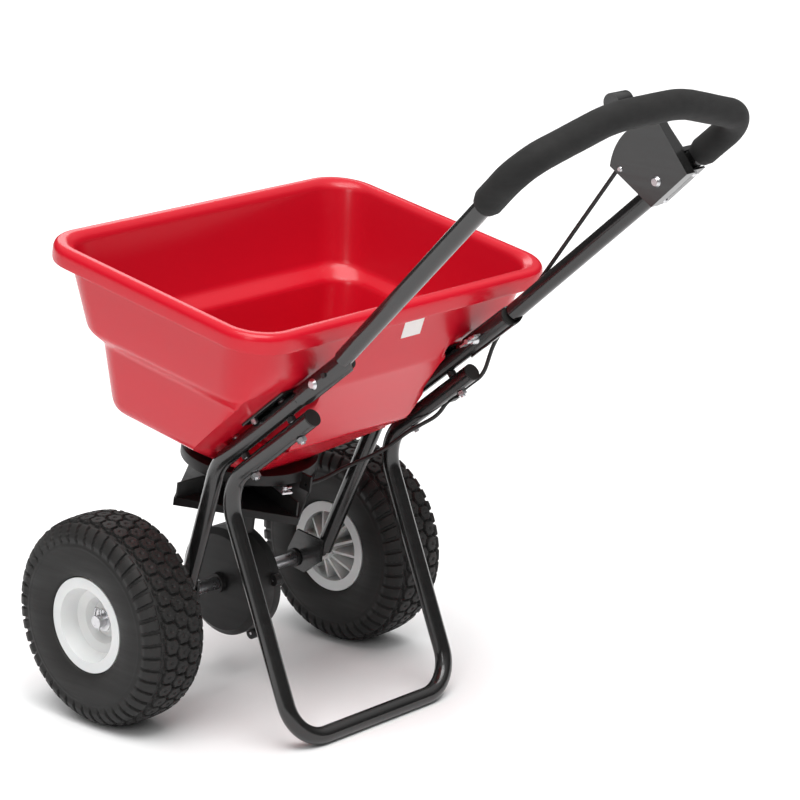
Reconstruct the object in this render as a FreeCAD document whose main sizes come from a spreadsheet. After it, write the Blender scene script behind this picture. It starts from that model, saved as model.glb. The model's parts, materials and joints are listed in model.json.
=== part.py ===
import FreeCAD, Part
import Sketcher
import math
import os
from FreeCAD import Placement, Rotation, Vector

# Walk-behind broadcast spreader: a moulded hopper on a bent-tube frame, two pneumatic wheels on one
# axle, a crown gear and pinion that spin the impeller, and a hand lever that opens the shutter by cable.
# Everything is drawn in the hopper's own level frame, with the axle on the X axis at the origin and +Y
# forward. The finished pieces are then tilted back together, as the spreader leans on its stand.

doc = FreeCAD.newDocument("GardenSpreader")
sheet = doc.addObject("Spreadsheet::Sheet", "Sizes")


class Size:
    """A number together with the sheet expression that it comes from."""

    def __init__(self, value, text):
        self.value = value
        self.text = text

    def combine(self, other, sign, swap=False):
        a, b = (size(other), self) if swap else (self, size(other))
        value = {"+": a.value + b.value, "-": a.value - b.value, "*": a.value * b.value}.get(sign)
        if sign == "/":
            value = a.value / b.value
        return Size(value, "(" + a.text + " " + sign + " " + b.text + ")")

    def __add__(self, other):
        return self.combine(other, "+")

    def __radd__(self, other):
        return self.combine(other, "+", True)

    def __sub__(self, other):
        return self.combine(other, "-")

    def __rsub__(self, other):
        return self.combine(other, "-", True)

    def __mul__(self, other):
        return self.combine(other, "*")

    def __rmul__(self, other):
        return self.combine(other, "*", True)

    def __truediv__(self, other):
        return self.combine(other, "/")

    def __neg__(self):
        return self * -1


def size(number):
    return number if isinstance(number, Size) else Size(float(number), "(" + repr(float(number)) + ")")


# Driving dimensions in millimetres and degrees.
driving = {
    "lean": 9.77, "origin_back": 274.49,
    "tyre_radius": 135.0, "tyre_width": 97.0, "tread_width": 66.0, "tyre_wall": 7.0,
    "wheel_centre": 215.2, "rim_width": 83.7, "rim_radius": 61.3, "rim_bead": 51.0, "rim_wall": 3.2,
    "hub_radius": 15.0, "hub_inner": 160.0, "hub_outer": 228.0, "rib_count": 12,
    "axle_radius": 7.94, "axle_half": 241.0, "running_gap": 0.06,
    "tube_radius": 11.1, "tube_wall": 1.6, "frame_half": 142.0, "stand_half": 141.0,
    "slope_lean": 42.5, "slope_base_back": 104.9, "slope_base_up": 250.0, "frame_tip": 247.0,
    "stand_drop": 28.0, "stand_tip": 151.0, "stand_bolt_low": 20.0, "stand_bolt_high": 120.0,
    "handle_bolt_up": 192.7, "button_up": 215.8,
    "plate_inner": 109.2, "plate_thick": 4.0,
    "drum_radius": 72.0, "drum_left": 29.0, "drum_right": 18.0, "drum_wall": 3.0,
    "neck_radius": 17.0, "neck_top": 98.0,
    "crown_teeth": 40, "pinion_teeth": 10, "crown_radius": 50.0, "face_width": 10.0, "tooth_height": 4.6,
    "shaft_radius": 6.0, "shaft_top": 226.0,
    "impeller_half": 80.0, "impeller_top": 134.0, "impeller_thick": 2.5, "impeller_turn": -8.0,
    "vane_tip": 20.0, "vane_root": 26.0,
    "tray_radius": 88.0, "tray_low": 170.0, "tray_high": 184.0, "shutter_thick": 2.5,
    "grip_radius": 17.5, "cable_radius": 2.6,
    "lip_half": 268.0, "lip_rear": 246.0, "lip_front": 146.0, "rim_high": 470.0, "hopper_wall": 3.5,
}
cells = {}
for row, (alias, number) in enumerate(driving.items(), start=1):
    sheet.set("A" + str(row), alias)
    sheet.set("B" + str(row), str(number))
    sheet.setAlias("B" + str(row), alias)
    cells[alias] = Size(float(number), "Sizes." + alias)
doc.recompute()

tilt = math.radians(driving["lean"])
lean_place = Placement(Vector(0, driving["origin_back"], driving["tyre_radius"]),
                       Rotation(Vector(1, 0, 0), driving["lean"]))
slope_place = Placement(Vector(0, -driving["slope_base_back"], driving["slope_base_up"]),
                        Rotation(Vector(1, 0, 0), driving["slope_lean"]))
turned = {"z": Rotation(), "x": Rotation(Vector(0, 1, 0), 90), "y": Rotation(Vector(1, 0, 0), -90)}
sub_parts = []


def bind(item, **values):
    for name, value in values.items():
        item.setExpression(name, size(value).text)
    return item


def place(item, base, rotation=None):
    if rotation is not None:
        item.Placement = Placement(Vector(), rotation)
    for axis, value in zip("xyz", base):
        item.setExpression(".Placement.Base." + axis, size(value).text)
    return item


def cylinder(radius, length, base, along="z"):
    item = bind(doc.addObject("Part::Cylinder", "Cylinder"), Radius=radius, Height=length)
    return place(item, base, turned[along])


def cone(start_radius, end_radius, length, base, along="z"):
    item = bind(doc.addObject("Part::Cone", "Cone"), Radius1=start_radius, Radius2=end_radius, Height=length)
    return place(item, base, turned[along])


def block(dx, dy, dz, base, rotation=None):
    item = bind(doc.addObject("Part::Box", "Block"), Length=dx, Width=dy, Height=dz)
    return place(item, base, rotation)


def prism(radius, length, base, along="z", sides=6):
    item = doc.addObject("Part::Prism", "Prism")
    item.Polygon = sides
    bind(item, Circumradius=radius, Height=length)
    return place(item, base, turned[along])


def fuse(*items):
    result = doc.addObject("Part::MultiFuse", "Fusion")
    result.Shapes = list(items)
    return result


def cut(base, *tools):
    result = doc.addObject("Part::Cut", "Cut")
    result.Base = base
    result.Tool = tools[0] if len(tools) == 1 else fuse(*tools)
    return result


def both(maker):
    """The same thing made on the left (-1) and on the right (+1)."""
    return [maker(-1), maker(1)]


def shaped(shape, name="Form"):
    item = doc.addObject("Part::Feature", name)
    item.Shape = shape
    return item


def piece(label, *items, frame=None):
    group = doc.addObject("Part::Compound", "Piece")
    group.Links = list(items)
    group.Placement = lean_place.multiply(frame) if frame else lean_place
    group.Label = label
    sub_parts.append(group)
    return group


def new_body(name):
    body = doc.addObject("PartDesign::Body", name)
    planes = {feature.Role: feature for feature in body.Origin.OriginFeatures}
    return body, planes


def outline(body, plane, points, name="Outline"):
    """A closed sketch of straight lines whose corners are dimensioned from the origin."""
    sketch = body.newObject("Sketcher::SketchObject", name)
    sketch.AttachmentSupport = [(plane, "")]
    sketch.MapMode = "FlatFace"
    corners = [(size(a), size(b)) for a, b in points]
    ends = corners[1:] + corners[:1]
    for (a, b), (c, d) in zip(corners, ends):
        sketch.addGeometry(Part.LineSegment(Vector(a.value, b.value, 0), Vector(c.value, d.value, 0)), False)
    for index, (a, b) in enumerate(corners):
        follower = (index - 1) % len(corners)
        sketch.addConstraint(Sketcher.Constraint("Coincident", follower, 2, index, 1))
        across = sketch.addConstraint(Sketcher.Constraint("DistanceX", -1, 1, index, 1, a.value))
        sketch.setExpression("Constraints[" + str(across) + "]", a.text)
        upward = sketch.addConstraint(Sketcher.Constraint("DistanceY", -1, 1, index, 1, b.value))
        sketch.setExpression("Constraints[" + str(upward) + "]", b.text)
    return sketch


def revolve(body, planes, points, name="Turned"):
    """The outline in (x, radius), turned once about the X axis."""
    turned_form = body.newObject("PartDesign::Revolution", name)
    turned_form.Profile = outline(body, planes["XY_Plane"], points)
    turned_form.ReferenceAxis = (planes["X_Axis"], [""])
    turned_form.Angle = 360.0
    return turned_form


def pad(body, sketch, length, name="Plate", middle=False):
    form = body.newObject("PartDesign::Pad", name)
    form.Profile = sketch
    if middle:
        form.SideType = "Symmetric"
    bind(form, Length=length)
    return form


def repeat(body, feature, axis, count, name="Repeat"):
    pattern = body.newObject("PartDesign::PolarPattern", name)
    pattern.Originals = [feature]
    pattern.Axis = (axis, [""])
    pattern.Angle = 360.0
    bind(pattern, Occurrences=count)
    body.Tip = pattern
    return pattern


def tangent_path(points, radii):
    """Straight runs joined by tangent arcs, one radius for each inner point."""
    points = [Vector(*point) for point in points]
    edges = []
    start = points[0]
    for index in range(1, len(points) - 1):
        corner = points[index]
        back = (points[index - 1] - corner).normalize()
        ahead = (points[index + 1] - corner).normalize()
        half = back.getAngle(ahead) / 2
        reach = radii[index - 1] / math.tan(half)
        first = corner + back * reach
        last = corner + ahead * reach
        middle_way = (back + ahead).normalize()
        centre = corner + middle_way * (radii[index - 1] / math.sin(half))
        middle = centre - middle_way * radii[index - 1]
        edges.append(Part.LineSegment(start, first).toShape())
        edges.append(Part.Arc(first, middle, last).toShape())
        start = last
    edges.append(Part.LineSegment(start, points[-1]).toShape())
    return Part.Wire(edges)


def swept_rod(path, radius):
    """A round rod of the given radius along a path."""
    spine = shaped(path, "Path")
    first = path.OrderedEdges[0]
    ring = bind(doc.addObject("Part::Circle", "Ring"), Radius=radius)
    heading = first.tangentAt(first.FirstParameter)
    ring.Placement = Placement(first.valueAt(first.FirstParameter), Rotation(Vector(0, 0, 1), heading))
    rod = doc.addObject("Part::Sweep", "Rod")
    rod.Sections = [ring]
    rod.Spine = (spine, ["Edge" + str(number + 1) for number in range(len(path.Edges))])
    rod.Solid = True
    return rod


def mirrored(points):
    return [(-across, along, up) for across, along, up in points]


c = type("Cells", (), cells)
tube_outer = driving["tube_radius"]
bore_radius = c.tube_radius - c.tube_wall
axle_bore = c.axle_radius + c.running_gap


# ---------------------------------------------------------------- wheels
def tyre(side):
    body, planes = new_body("Tyre")
    middle = c.wheel_centre * side
    half = c.tyre_width / 2
    crown = c.tread_width / 2
    bead_half = c.rim_width / 2 - c.rim_wall
    wall = c.tyre_wall
    outer = [(bead_half, c.rim_bead + 0.4), (bead_half, c.rim_radius + 0.4), (half - 4, 74), (half, 90),
             (half - 3, 108), (crown + 5, 124), (crown - 4, 132), (crown / 2, c.tyre_radius)]
    inner = [(bead_half - 9, c.rim_bead + 0.4), (bead_half - 7, 64), (half - wall - 4, 76), (half - wall, 91),
             (half - wall - 3, 105), (crown - 4, 117), (crown / 2, 120)]
    ring = [(middle + across, up) for across, up in outer]
    ring += [(middle - across, up) for across, up in reversed(outer)]
    ring += [(middle - across, up) for across, up in inner]
    ring += [(middle + across, up) for across, up in reversed(inner)]
    revolve(body, planes, ring)
    return body


def rim(side):
    body, planes = new_body("Rim")
    out = c.wheel_centre + c.rim_width / 2
    back = c.wheel_centre - c.rim_width / 2
    wall = c.rim_wall
    bore = axle_bore if side > 0 else c.axle_radius
    ring = [(back, c.rim_radius), (back + wall, c.rim_radius), (back + wall, c.rim_bead),
            (out - wall, c.rim_bead), (out - wall, c.rim_radius), (out, c.rim_radius),
            (out, c.rim_bead - wall), (out - 22, 41),
            (out - 26, 30), (c.hub_outer - 7, 24), (c.hub_outer, c.hub_radius), (c.hub_outer, bore),
            (c.hub_inner, bore), (c.hub_inner, c.hub_radius), (c.hub_outer - 14, c.hub_radius + 2),
            (c.hub_outer - 14, 27), (out - 31, 40), (out - 28, c.rim_bead - wall), (back, c.rim_bead - wall)]
    revolve(body, planes, [(across * side, up) for across, up in ring])
    rib_line = [((c.hub_inner + 6) * side, c.hub_radius - 2), ((back + 8) * side, c.rim_bead - 1),
                ((out - 26) * side, c.rim_bead - 1), ((out - 33) * side, 30),
                ((c.hub_outer - 12) * side, c.hub_radius - 2)]
    rib = pad(body, outline(body, planes["XY_Plane"], rib_line, "RibLine"), 3.4, "Rib", middle=True)
    repeat(body, rib, planes["X_Axis"], c.rib_count)
    return cut(body, valve_stem(side, 4.05, 30))


def valve_stem(side, radius, length):
    """A stem between two ribs, through the rim's barrel."""
    stem = cylinder(radius, length, ((c.wheel_centre - 6) * side, 0, 30))
    group = doc.addObject("Part::Compound", "Stem")
    group.Links = [stem]
    group.Placement = Placement(Vector(), Rotation(Vector(1, 0, 0), 180 / driving["rib_count"]))
    return group


for side, name in ((-1, "left"), (1, "right")):
    piece(name + "_tyre", tyre(side))
    piece(name + "_rim", rim(side))
    piece(name + "_valve", valve_stem(side, 4.0, 23))

# ---------------------------------------------------------------- axle
clip_inset = 7.0
clip_radius = 1.3
pin_across = -20.5
axle_rod = cylinder(c.axle_radius, c.axle_half * 2, (-c.axle_half, 0, 0), "x")
clip_holes = both(lambda side: cylinder(clip_radius + 0.3, 30, ((c.axle_half - clip_inset) * side, 0, -15)))
piece("axle", cut(axle_rod, *clip_holes, cylinder(2.0, 30, (pin_across, 0, -15))))


def ring_between(side, low, high, radius):
    """A ring round the axle, from low to high on the given side."""
    start = low if side > 0 else -high
    bore = cylinder(axle_bore, high - low + 2, (start - 1, 0, 0), "x")
    return cut(cylinder(radius, high - low, (start, 0, 0), "x"), bore)


washer_gap = 0.3
washer_at = driving["hub_outer"] + washer_gap
piece("axle_washers", *both(lambda side: ring_between(side, washer_at, washer_at + 1.6, 14)))


def spring_clip(side):
    """A wire clip: one leg through the axle's hole and one leg bowed round the axle's end."""
    across = side * (driving["axle_half"] - clip_inset)
    bow = [(across, 0, -13), (across, 0, 15), (across, 9.8, 15), (across, 9.8, -11)]
    return swept_rod(tangent_path(bow, [2.2, 2.2]), clip_radius)


piece("axle_clips", *both(spring_clip))


spacer_from, spacer_to = 118.2, driving["hub_inner"] - washer_gap
piece("wheel_spacers", *both(lambda side: ring_between(side, spacer_from, spacer_to, 10.6)))

# ---------------------------------------------------------------- axle plates and bushes
bush_radius = 12.2
for side, name in ((-1, "left"), (1, "right")):
    body, planes = new_body("AxlePlate")
    corners = [(14, -6), (14, 8), (2, 40), (-44, 42), (-46, 12), (-20, -14), (6, -14)]
    pad(body, outline(body, planes["YZ_Plane"], corners), c.plate_thick)
    start = c.plate_inner if side > 0 else -c.plate_inner - c.plate_thick
    bush_hole = cylinder(bush_radius, 12, (start - 4, 0, 0), "x")
    piece(name + "_axle_plate", cut(place(body, (start, 0, 0)), bush_hole))


def axle_bush(side):
    """A flanged bush: the sleeve lies in the plate and the flange outside it."""
    plate_out = driving["plate_inner"] + driving["plate_thick"]
    sleeve = ring_between(side, driving["plate_inner"] - 3.2, plate_out, bush_radius)
    return fuse(sleeve, ring_between(side, plate_out, plate_out + 4.6, 15.5))


piece("axle_bushes", *both(axle_bush))

# ---------------------------------------------------------------- frame tubes and stand
slope_up = slope_place.Rotation.multVec(Vector(0, 0, 1))
slope_out = Vector(0, slope_up.z, -slope_up.y)
slope_base = Vector(0, -driving["slope_base_back"], driving["slope_base_up"])


def on_slope(across, outward, along):
    point = slope_base + slope_out * outward + slope_up * along
    return (across, point.y, point.z)


knee = (driving["frame_half"], -84.8, 228.0)
tip = on_slope(driving["frame_half"], 0, driving["frame_tip"])
frame_foot = (124.5, -35.6, 24.0)
frame_line = tangent_path([frame_foot, knee, tip], [75])


def hollow(path, radius, inner_radius):
    return cut(swept_rod(path, radius), swept_rod(path, inner_radius))


def bolt_holes(across_list, low, high):
    """Cross holes square to the slope, for the bolts between the frame and the stand."""
    holes = [cylinder(3.3, 80, (across, -60, up), "y") for across in across_list for up in (low, high)]
    group = doc.addObject("Part::Compound", "Holes")
    group.Links = holes
    group.Placement = slope_place
    return group


def cross_holes(side):
    """The handle bolt's hole and the button's hole, across the tube."""
    start = side * c.frame_half - 25
    group = doc.addObject("Part::Compound", "Holes")
    group.Links = [cylinder(3.4, 50, (start, 0, up), "x") for up in (c.handle_bolt_up, c.button_up)]
    group.Placement = slope_place
    return group


for side, name in ((-1, "left"), (1, "right")):
    path = frame_line if side > 0 else tangent_path(mirrored([frame_foot, knee, tip]), [75])
    tube = hollow(path, c.tube_radius, bore_radius)
    holes = bolt_holes([c.frame_half * side], c.stand_bolt_low, c.stand_bolt_high)
    piece(name + "_frame_tube", cut(tube, holes, cross_holes(side)))

foot_back = -270.0
foot_up = (tube_outer - driving["tyre_radius"] - foot_back * math.sin(tilt)) / math.cos(tilt)
stand_half = driving["stand_half"]
stand_top = on_slope(stand_half, -driving["stand_drop"], driving["stand_tip"])
right_leg = [stand_top, (stand_half, -99.2, 202.3), (stand_half, foot_back, foot_up)]
stand_points = right_leg + mirrored(right_leg)[::-1]
stand_line = tangent_path(stand_points, [58, 50, 50, 58])
stand_tube = hollow(stand_line, c.tube_radius, bore_radius)
stand_holes = bolt_holes([c.frame_half, -c.frame_half], c.stand_bolt_low, c.stand_bolt_high)
piece("stand", cut(stand_tube, stand_holes))


def end_plug(across, outward, along):
    """A moulded plug: a cap on the tube's end and a stem inside it."""
    cap = cylinder(c.tube_radius, 2.4, (across, outward, along))
    stem = cylinder(bore_radius, 9, (across, outward, along - 9))
    return fuse(cap, stem)


plug_spots = [(c.frame_half, 0, c.frame_tip), (-c.frame_half, 0, c.frame_tip),
              (c.stand_half, -c.stand_drop, c.stand_tip), (-c.stand_half, -c.stand_drop, c.stand_tip)]
piece("tube_end_plugs", *[end_plug(*spot) for spot in plug_spots], frame=slope_place)


def stand_bolt(across, up):
    """A round-headed bolt through both tubes, its head on the frame tube's upper side."""
    head = cone(6.2, 4.0, 3.2, (across, c.tube_radius, up), "y")
    shank = cylinder(3.1, 58, (across, c.tube_radius - 58, up), "y")
    return fuse(head, shank)


bolt_spots = [(c.frame_half * side, up) for side in (-1, 1) for up in (c.stand_bolt_low, c.stand_bolt_high)]
piece("stand_bolts", *[stand_bolt(*spot) for spot in bolt_spots], frame=slope_place)
gap = driving["stand_drop"] - 2 * tube_outer
spacer_face = -c.tube_radius - gap + 0.2
spacer_rings = [cut(cylinder(5.6, gap - 0.4, (across, spacer_face, up), "y"),
                    cylinder(3.2, gap + 2, (across, spacer_face - 1, up), "y")) for across, up in bolt_spots]
piece("stand_spacers", *spacer_rings, frame=slope_place)
nut_face = -c.tube_radius * 3 - gap - 5.2
nuts = [cut(prism(6.4, 5, (across, nut_face, up), "y"), cylinder(3.2, 8, (across, nut_face - 1, up), "y"))
        for across, up in bolt_spots]
piece("stand_nuts", *nuts, frame=slope_place)

# ---------------------------------------------------------------- handle and grip
handle_low = (142.5, -233.7, 388.0)
handle_bend = (196.0, -532.0, 765.0)
handle_crown = (60.0, -538.0, 801.5)
handle_axis = (Vector(*handle_bend) - Vector(*handle_low)).normalize()
tube_start = Vector(*handle_low) + handle_axis * 74
handle_half = [tuple(tube_start), handle_bend, handle_crown]
handle_points = handle_half + mirrored(handle_half)[::-1]
handle_bends = [42, 200, 200, 42]
handle_line = tangent_path(handle_points, handle_bends)
handle_tube = hollow(handle_line, c.tube_radius, bore_radius)


def cradle(side):
    """The handle's crushed end: a half channel that wraps the frame tube from outside."""
    start = driving["handle_bolt_up"] - 42
    length = 112
    across = c.frame_half * side
    ring = cut(cylinder(c.tube_radius + 2.1, length, (across, 0, start)),
               cylinder(c.tube_radius + 0.15, length + 2, (across, 0, start - 1)))
    inner_half = block(28, 40, length + 4, (across - 14 - 16 * side, -20, start - 2))
    group = doc.addObject("Part::Compound", "Cradle")
    group.Links = [cut(ring, inner_half)]
    group.Placement = slope_place
    return group


def crushed_end(side):
    """The solid length where the round tube is pressed flat on to its channel."""
    ends = [Vector(*handle_low) + handle_axis * along for along in (64, 84)]
    run = Part.LineSegment(*[Vector(end.x * side, end.y, end.z) for end in ends])
    return swept_rod(Part.Wire(run.toShape()), c.tube_radius)


# The control on the handle has a frame of its own: +Z up along the handle's right branch, +Y out of its
# front, and X as before. Its bolt, which is also the lever's pivot, crosses the handle tube.
control_lean = 38.3
control_place = Placement(Vector(0, -448, 659), Rotation(Vector(1, 0, 0), control_lean))
pivot_up, pivot_out = 11.0, -1.0
cover_in, cover_out = 150.0, 165.0
pivot_hole = doc.addObject("Part::Compound", "Holes")
pivot_hole.Links = [cylinder(4.1, 40, (cover_out, pivot_out, pivot_up), "x")]
pivot_hole.Placement = control_place
handle_all = fuse(handle_tube, *both(cradle), *both(crushed_end))
piece("handle", cut(handle_all, cross_holes(-1), cross_holes(1), pivot_hole))

grip_start = Vector(*handle_low) + handle_axis * 404
grip_half = [tuple(grip_start), handle_bend, handle_crown]
grip_line = tangent_path(grip_half + mirrored(grip_half)[::-1], handle_bends)
piece("grip", hollow(grip_line, c.grip_radius, c.tube_radius + 0.02))


def facing(side, start_radius, end_radius, length, across, up):
    """A cone across the handle, from the start radius outwards on the given side."""
    if side > 0:
        return cone(start_radius, end_radius, length, (across, 0, up), "x")
    return cone(end_radius, start_radius, length, (across - length, 0, up), "x")


def carriage_bolt(side):
    head_at = (c.frame_half + c.tube_radius + 2.1) * side
    shank_at = head_at - 42 if side > 0 else head_at
    return fuse(facing(side, 7.0, 4.2, 3.4, head_at, c.handle_bolt_up),
                cylinder(3.1, 42, (shank_at, 0, c.handle_bolt_up), "x"))


piece("handle_bolts", *both(carriage_bolt), frame=slope_place)


def wing_nut(side):
    start = (c.frame_half - c.tube_radius - 9) * side
    barrel = facing(side, 4.6, 6.4, 9, start, c.handle_bolt_up)
    wing_at = start - 7 if side > 0 else start - 5
    wings = [block(12, 2.2, 11, (wing_at, -1.1, c.handle_bolt_up + low)) for low in (3.8, -14.8)]
    return cut(fuse(barrel, *wings), cylinder(3.15, 30, (start - 15, 0, c.handle_bolt_up), "x"))


piece("wing_nuts", *both(wing_nut), frame=slope_place)


def snap_button(side):
    across = c.frame_half * side
    start = across + (9 if side > 0 else -9 - 6.2)
    return cylinder(3.3, 6.2, (start, 0, c.button_up), "x")


piece("snap_buttons", *both(snap_button), frame=slope_place)

# ---------------------------------------------------------------- hopper
def on_circle(radius, degrees, up=0.0):
    return Vector(radius * math.cos(math.radians(degrees)), radius * math.sin(math.radians(degrees)), up)


def round_rectangle(up, half, rear, front, corner):
    """A level outline of width 2*half from -rear to front with rounded corners."""
    spots = [(half - corner, front - corner, 0), (corner - half, front - corner, 90),
             (corner - half, corner - rear, 180), (half - corner, corner - rear, 270)]
    arcs = [[Vector(x, y, 0) + on_circle(corner, angle + step, up) for step in (0, 45, 90)]
            for x, y, angle in spots]
    edges = []
    for index, arc in enumerate(arcs):
        edges.append(Part.Arc(*arc).toShape())
        edges.append(Part.LineSegment(arc[2], arcs[(index + 1) % 4][0]).toShape())
    return Part.Wire(edges)


# Each level of the hopper's outside: height, half width, rear, front, corner radius.
hopper_levels = [(184.6, 66, 64, 64, 40), (266, 205, 164, 64, 40), (274, 209, 168, 68, 42),
                 (352, 223, 204, 80, 44), (366, 236, 211, 100, 48), (470, 254, 231, 131, 54)]
wall = driving["hopper_wall"]


def tower(shrink):
    levels = [round_rectangle(up, half - shrink, rear - shrink, front - shrink, corner - shrink)
              for up, half, rear, front, corner in hopper_levels]
    solids = [Part.makeLoft(levels[index:index + 2], True, True) for index in range(len(levels) - 1)]
    body = solids[0]
    for solid in solids[1:]:
        body = body.fuse(solid)
    return body


facet_height = tube_outer + 3.4
facet_side = 114.0


def corner_cuts(offset):
    """The slanted spaces at the two rear corners where the frame tubes run past."""
    shapes = []
    for side in (-1, 1):
        start = facet_side - offset if side > 0 else -300
        corner = Vector(start, facet_height + offset - 200, -130)
        slab = Part.makeBox(300 - facet_side + offset, 200, 420, corner)
        slab.Placement = slope_place.multiply(slab.Placement)
        shapes.append(slab)
    return shapes


outside = tower(0)
for slab in corner_cuts(0):
    outside = outside.cut(slab)
inside = tower(wall)
for slab in corner_cuts(wall):
    inside = inside.cut(slab)
foot_up = 184.6
flange_top = foot_up + 3.4
foot_flange = Part.Face(round_rectangle(foot_up, 80, 78, 78, 52)).extrude(Vector(0, 0, flange_top - foot_up))
throat = Part.Face(round_rectangle(foot_up - 1, 62.5, 60.5, 60.5, 36.5)).extrude(Vector(0, 0, 6))
shell = outside.cut(inside).fuse(foot_flange.cut(throat))
flange_spots = [(57.5 * x, 55.5 * y) for x in (-1, 1) for y in (-1, 1)]
for x, y in flange_spots:
    shell = shell.cut(Part.makeCylinder(2.05, 11.2, Vector(x, y, 176)))


def lip_level(drop, inset, corner=58):
    half, rear, front = [driving["lip_" + name] - inset for name in ("half", "rear", "front")]
    return round_rectangle(driving["rim_high"] - drop, half, rear, front, corner - inset)


lip_outside = Part.makeLoft([lip_level(24, 0), lip_level(6, 0), lip_level(0, 5)], True, True)
lip_inside = Part.makeLoft([lip_level(24.5, 3.2), lip_level(3.5, 3.2)], True, True)
mouth = Part.makeLoft([lip_level(5, 18.5), lip_level(-5, 16.8)], True, True)
shell = shell.fuse(lip_outside.cut(lip_inside).cut(mouth)).removeSplitter()

saddle_low = 60.0
saddle_length = 88.0
saddle_half = 21.0
saddle_spots = [(side, up, offset) for side in (-1, 1)
                for up, offset in ((saddle_low + 18, -15.5), (saddle_low + saddle_length - 18, 15.5))]
for side, up, offset in saddle_spots:
    drill = Part.makeCylinder(2.7, 20, Vector(driving["frame_half"] * side + offset, 8, up), Vector(0, 1, 0))
    drill.Placement = slope_place.multiply(drill.Placement)
    shell = shell.cut(drill)
piece("hopper", shaped(shell, "Hopper"))


def saddle(side):
    """A plate on top of the frame tube that carries the hopper's slanted facet."""
    start = c.frame_half * side - saddle_half
    plate = block(saddle_half * 2, 3.2, saddle_length, (start, c.tube_radius + 0.05, saddle_low))
    holes = [cylinder(2.7, 20, (c.frame_half * side + offset, 4, up), "y")
             for one, up, offset in saddle_spots if one == side]
    return cut(plate, cylinder(8, 20, (c.frame_half * side, 4, c.stand_bolt_high), "y"), *holes)


piece("hopper_saddles", *both(saddle), frame=slope_place)


def saddle_bolt(side, up, offset):
    """A round head inside the hopper, a shank through its facet and the saddle, and a nut below."""
    across = c.frame_half * side + offset
    head_at = facet_height + wall + 0.1
    head = cone(6.6, 4.4, 3.4, (across, head_at, up), "y")
    shank = cylinder(2.5, head_at - 5, (across, 5, up), "y")
    return fuse(head, shank, prism(4.6, 4.6, (across, 6.4, up), "y"))


piece("hopper_bolts", *[saddle_bolt(*spot) for spot in saddle_spots], frame=slope_place)

# ---------------------------------------------------------------- base tray and shutter
port_inner, port_outer = 24.0, 54.0
port_span = 11.0
shutter_travel = 12.0


def fan(start_angle, inner, outer, low, high, span):
    """A slot between two radii and two angles, cut right through."""
    turns = (start_angle, start_angle + span / 2, start_angle + span)
    near = [on_circle(inner, turn, low) for turn in turns]
    far = [on_circle(outer, turn, low) for turn in turns]
    edges = [Part.LineSegment(near[0], far[0]).toShape(), Part.Arc(*far).toShape(),
             Part.LineSegment(far[2], near[2]).toShape(), Part.Arc(*near[::-1]).toShape()]
    return Part.Face(Part.Wire(edges)).extrude(Vector(0, 0, high - low))


port_angles = [60, 90, 120]
tray = cylinder(c.tray_radius, c.tray_high - c.tray_low, (0, 0, c.tray_low))
tray_ports = [shaped(fan(angle, port_inner, port_outer, 160, 200, port_span), "Port")
              for angle in port_angles]
tray_dish = cylinder(c.tray_radius - 4, c.tray_high - c.tray_low, (0, 0, c.tray_low - 3.4))
shaft_hole = cylinder(c.shaft_radius + 0.05, 60, (0, 0, 150))
screw_holes = [cylinder(2.1, 30, (x, y, 165)) for x, y in flange_spots]
boss_radius = 10.0
shutter_top = driving["tray_high"] - 3.4 - 0.35
shutter_low = shutter_top - driving["shutter_thick"]
arm_top = shutter_low - 10.6
anchor_in, anchor_out, anchor_back, wire_up = 6.0, 9.0, -97.0, arm_top + 1.8
anchor_tab = block(anchor_out - anchor_in, 18, 21, (anchor_in, anchor_back - 8, 161))
anchor_hole = cylinder(2.1, 6, (anchor_in - 1, anchor_back, wire_up), "x")
tray_all = fuse(cut(tray, cut(tray_dish, cylinder(boss_radius, 40, (0, 0, 150)))), anchor_tab)
piece("base_tray", cut(tray_all, shaft_hole, anchor_hole, *tray_ports, *screw_holes))

shutter_disc = cylinder(c.tray_radius - 12, c.shutter_thick, (0, 0, shutter_low))
shutter_ports = [shaped(fan(angle - shutter_travel, port_inner, port_outer, 150, 200, port_span), "Port")
                 for angle in port_angles]
piece("shutter", cut(shutter_disc, cylinder(boss_radius + 0.4, 60, (0, 0, 150)), *shutter_ports))
retainer_top = shutter_low - 0.35
retainer_low = retainer_top - 2.0
plate_under = driving["tray_high"] - 3.4
bosses = [cylinder(3.3, plate_under - retainer_top, (x, y, retainer_top)) for x, y in flange_spots]
retainer = fuse(cylinder(c.tray_radius - 4.2, 2.0, (0, 0, retainer_low)), *bosses)
piece("shutter_retainer", cut(retainer, cylinder(70, 6, (0, 0, retainer_top - 4.0)), *screw_holes))
screw_tip = 187.0
piece("tray_screws", *[fuse(cone(2.4, 3.6, 2.0, (x, y, retainer_low - 2.0)),
                            cylinder(2.0, screw_tip - retainer_low, (x, y, retainer_low)))
                       for x, y in flange_spots])

# The shutter's arm drops below the tray's skirt and carries the pin that the cable pulls.
arm_angle = -106.0
arm_radius = 96.0
arm_in, arm_half, arm_thick = 56.0, 7.0, 2.4
arm_form = Part.makeBox(48, 2 * arm_half, arm_thick, Vector(arm_in, -arm_half, arm_top - arm_thick))
arm_form = arm_form.fuse(Part.makeBox(arm_thick, 2 * arm_half, shutter_low - arm_top,
                                      Vector(arm_in, -arm_half, arm_top)))
arm_form.Placement = Placement(Vector(), Rotation(Vector(0, 0, 1), arm_angle))
piece("shutter_arm", shaped(arm_form.removeSplitter(), "ShutterArm"))
arm_pin = on_circle(arm_radius, arm_angle)
piece("shutter_pin", fuse(cylinder(2.2, 3.6, (arm_pin.x, arm_pin.y, arm_top)),
                          cylinder(3.6, 1.6, (arm_pin.x, arm_pin.y, arm_top + 3.6))))
eye_at = Vector(arm_pin.x, arm_pin.y, arm_top + 0.3)
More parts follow.
